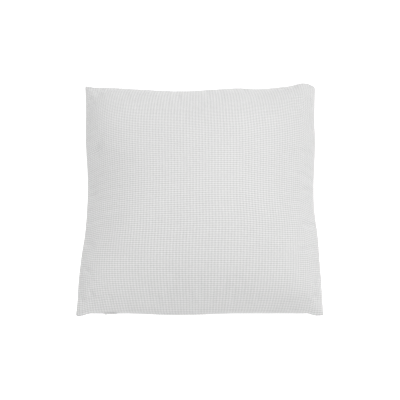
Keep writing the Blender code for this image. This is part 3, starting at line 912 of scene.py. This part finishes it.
for side, word in ((1, "front"), (-1, "back")):
    place(zip_tape(side), "zip_tape_" + word, "zip_tape", TAPE)
    place(coil(side), "zip_coil_" + word, "zip_coil", COIL)
    place(tape_stitch(side), "zip_stitch_" + word, "sewing_thread", THREAD)

for name in ("zip_top_stop_front", "zip_top_stop_back", "zip_bottom_stop", "zip_slider", "zip_pull_tab"):
    node = NODES[name] if isinstance(NODES, dict) else bpy.data.objects[name]
    obj = bpy.data.objects[name]
    if not obj.material_slots:
        obj.data.materials.append(ENAMEL)
    for s in obj.material_slots:
        s.material = ENAMEL


# ------------------------------------------------------------------ the insert
INSERT_CLEAR, INSERT_FABRIC = 0.0034, 0.0006
SHRINK = 0.912                # the insert's seam, in cloth coordinates of the cover


def insert_surface(base, side, n, clear, edge_in=0.0, shrink=SHRINK):
    """The insert's face: off the cover's, and drawn in to its own seam."""
    m = 256
    fine = fine_base(base, m, m, side)
    nor = normals(fine, side)
    low = fine - nor * clear
    us = np.linspace(-shrink, shrink, n + 1)
    x = (us + 1) / 2 * m
    k = np.minimum(x.astype(int), m - 1)
    f = x - k

    def pick(a):
        f1, f2 = f[:, None, None], f[None, :, None]
        return (
            a[np.ix_(k, k)] * (1 - f1) * (1 - f2) + a[np.ix_(k + 1, k)] * f1 * (1 - f2)
            + a[np.ix_(k, k + 1)] * (1 - f1) * f2 + a[np.ix_(k + 1, k + 1)] * f1 * f2
        )
    g = pick(low)
    q = np.linspace(-1, 1, n + 1)
    own = np.array([[rise(a, b, 0.5, 0.46) for b in q] for a in q]) * (0.105 - clear) - edge_in
    h = side * (g[..., 2] - SEAM_Z)
    # the lower of the two, rounded where they meet
    r = 0.004
    low_h = np.minimum(h, own) - np.maximum(r - abs(h - own), 0.0) ** 2 / (4 * r)
    g[..., 2] = SEAM_Z + side * np.maximum(low_h, 0.0)
    return g


def insert_panel(word, base, side):
    n = 120
    outer = insert_surface(base, side, n, INSERT_CLEAR)
    inner = insert_surface(base, side, n, INSERT_CLEAR + INSERT_FABRIC)[::2, ::2].copy()
    edge = np.zeros((n + 1, n + 1), bool)
    edge[[0, -1]] = edge[:, [0, -1]] = True
    outer[edge, 2] = SEAM_Z + side * 0.0002
    for i in range(n // 2 + 1):
        for j in range(n // 2 + 1):
            if i in (0, n // 2) or j in (0, n // 2):
                inner[i, j] = beside_seam(outer[2 * i, 2 * j], 2 * i, 2 * j, n, n, 0.0009, 0.0010, side)
    rim = [beside_seam(outer[i, j], i, j, n, n, 0.0006, 0.0, side) for i, j in ring(n, n)]
    obj = shell("insert_" + word, outer, [rim], inner, (2, 2), side)
    place(obj, "insert_%s_panel" % word, "insert_lining", LINING)
    return outer


INSERT = {1: insert_panel("front", FRONT, 1), -1: insert_panel("back", BACK, -1)}


def filling():
    n = 96
    clear = INSERT_CLEAR + INSERT_FABRIC + 0.0004
    grids = {side: insert_surface(b, side, n, clear + 0.0004, 0.0008, SHRINK - 0.014) for side, b in ((1, FRONT), (-1, BACK))}
    rng = np.random.default_rng(7)
    verts, faces = [], []
    edge = np.zeros((n + 1, n + 1), bool)
    edge[[0, -1]] = edge[:, [0, -1]] = True
    order = {}
    index = {}
    for side, g in grids.items():
        lump = resample(rng.random((17, 17, 1)), n, n)[..., 0] * 0.0014 + resample(rng.random((49, 49, 1)), n, n)[..., 0] * 0.0008
        away = smooth01(border_distance(g)[0] / 0.03)
        g = g - normals(g, side) * (np.clip(lump, 0, None) * away)[..., None]
        idx = np.zeros((n + 1, n + 1), int)
        for i in range(n + 1):
            for j in range(n + 1):
                if edge[i, j]:
                    if (i, j) not in order:
                        order[i, j] = len(verts)
                        p = beside_seam(g[i, j], i, j, n, n, 0.0010, 0.0, 1)
                        p[2] = SEAM_Z
                        verts.append(p)
                    idx[i, j] = order[i, j]
                else:
                    idx[i, j] = len(verts)
                    verts.append(g[i, j])
        index[side] = idx
        faces += grid_faces(idx, side < 0)
    obj = new_object("filling", np.array(verts), faces)
    place(obj, "fibre_filling", "polyester_fibre", FIBRE)


filling()


def insert_border():
    g = INSERT[1]
    n = g.shape[0] - 1
    pts = np.array([g[i, j] for i, j in ring(n, n)] + [g[0, 0]])
    pts[:, 2] = SEAM_Z
    run = np.concatenate([[0.0], np.cumsum(np.linalg.norm(np.diff(pts, axis=0), axis=1))])
    return pts, run


def whip(name, node, spans, pitch, reach, radius):
    """Stitches that wind round the insert's seam."""
    pts, run = insert_border()
    total = run[-1]
    centre = pts.mean(axis=0)
    paths = []
    for a0, a1 in spans:
        steps = int((a1 - a0) / pitch * 8)
        k = np.arange(steps + 1)
        a = (a0 + (a1 - a0) * k / steps) % total
        p = np.stack([np.interp(a, run, pts[:, q]) for q in range(3)], -1)
        e = 0.0015
        nxt = np.stack([np.interp((a + e) % total, run, pts[:, q]) for q in range(3)], -1)
        t = nxt - p
        t /= np.maximum(np.linalg.norm(t, axis=1, keepdims=True), 1e-9)
        out = np.cross(t, [0.0, 0.0, 1.0])
        ang = 2 * math.pi * k / 8
        p = p + out * (reach * np.cos(ang))[:, None] + np.array([0, 0, 1.0]) * (reach * np.sin(ang))[:, None]
        paths.append(p)
    return place(tubes(name, paths, radius, 5), node, "sewing_thread", THREAD)


_pts, _run = insert_border()
_bottom = _pts[: 121]
_x0 = float(np.interp(-0.060, _bottom[:, 0], _run[:121]))
_x1 = float(np.interp(0.060, _bottom[:, 0], _run[:121]))
whip("insert_seam_stitches", "insert_seam_thread", [(_x1 + 0.002, _run[-1] + _x0 - 0.002)], 0.0030, 0.00085, 0.00014)
whip("insert_closing_stitches", "insert_closing_thread", [(_x0, _x1)], 0.0045, 0.00100, 0.00020)


# ------------------------------------------------------------------ care label
def care_label():
    """A blank satin label lying flat inside the back panel, with turned ends."""
    low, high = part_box("care_label")
    m = 256
    fine = fine_base(BACK, m, m, -1)
    n = normals(fine, -1)
    cx, cy = (low[0] + high[0]) / 2, (low[1] + high[1]) / 2
    row = int(np.argmin(abs(fine[m // 8, :, 1] - cy)))
    i0, i1 = (float(np.interp(x, fine[:, row, 0], np.arange(m + 1))) for x in (low[0] + 0.001, high[0] - 0.001))
    col = int((i0 + i1) / 2)
    j0, j1 = (float(np.interp(y, fine[col, :, 1], np.arange(m + 1))) for y in (low[1] + 0.001, high[1] - 0.001))
    nu, nv = 44, 36

    def at(i, j, clear):
        a, b = int(i), int(j)
        f, g = i - a, j - b
        p = 0.0
        for u, wu in ((a, 1 - f), (a + 1, f)):
            for v, wv in ((b, 1 - g), (b + 1, g)):
                p = p + (fine[u, v] - n[u, v] * clear) * wu * wv
        return p
    grids = []
    for clear in (0.00225, 0.00255):
        grids.append(np.array([[at(i0 + (i1 - i0) * a / nu, j0 + (j1 - j0) * b / nv, clear + (0.00012 if a in (1, nu - 1) and clear > 0.0024 else 0.0)) for b in range(nv + 1)] for a in range(nu + 1)]))
    obj = shell("care_label_satin", grids[0], [], grids[1], (1, 1), -1)
    place(obj, "care_label", "label_satin", SATIN)


care_label()


# ------------------------------------------------------------------ light and floor
world = bpy.data.worlds.new("studio"); scene.world = world
world.use_nodes = True
world.node_tree.nodes["Background"].inputs[0].default_value = (1.0, 1.0, 1.0, 1.0)
world.node_tree.nodes["Background"].inputs[1].default_value = 0.75


def area(name, place, size, power):
    d = bpy.data.lights.new(name, "AREA")
    d.shape, d.size, d.energy = "DISK", size, power
    o = bpy.data.objects.new(name, d)
    scene.collection.objects.link(o)
    o.location = place
    look_at(o, (0.0, 0.0, 0.08))
    return o


area("key", (1.0, 1.25, 2.05), 1.2, 14.5)
area("overhead", (0.0, 0.0, 2.2), 2.0, 18.2)
area("fill", (1.1, -1.5, 1.1), 0.9, 2.4)

floor_mesh = bpy.data.meshes.new("floor")
R = 30.0
floor_mesh.from_pydata([(-R, -R, -0.0005), (R, -R, -0.0005), (R, R, -0.0005), (-R, R, -0.0005)], [], [(0, 1, 2, 3)])
floor = bpy.data.objects.new("floor", floor_mesh)
scene.collection.objects.link(floor)
fm, fn, fl, fb = shader("paper", (0.98, 0.98, 0.98), 0.9)
fb.inputs["Emission Color"].default_value = (1, 1, 1, 1)
fb.inputs["Emission Strength"].default_value = 0.40
floor_mesh.materials.append(fm)
scene.view_settings.view_transform = "Standard"
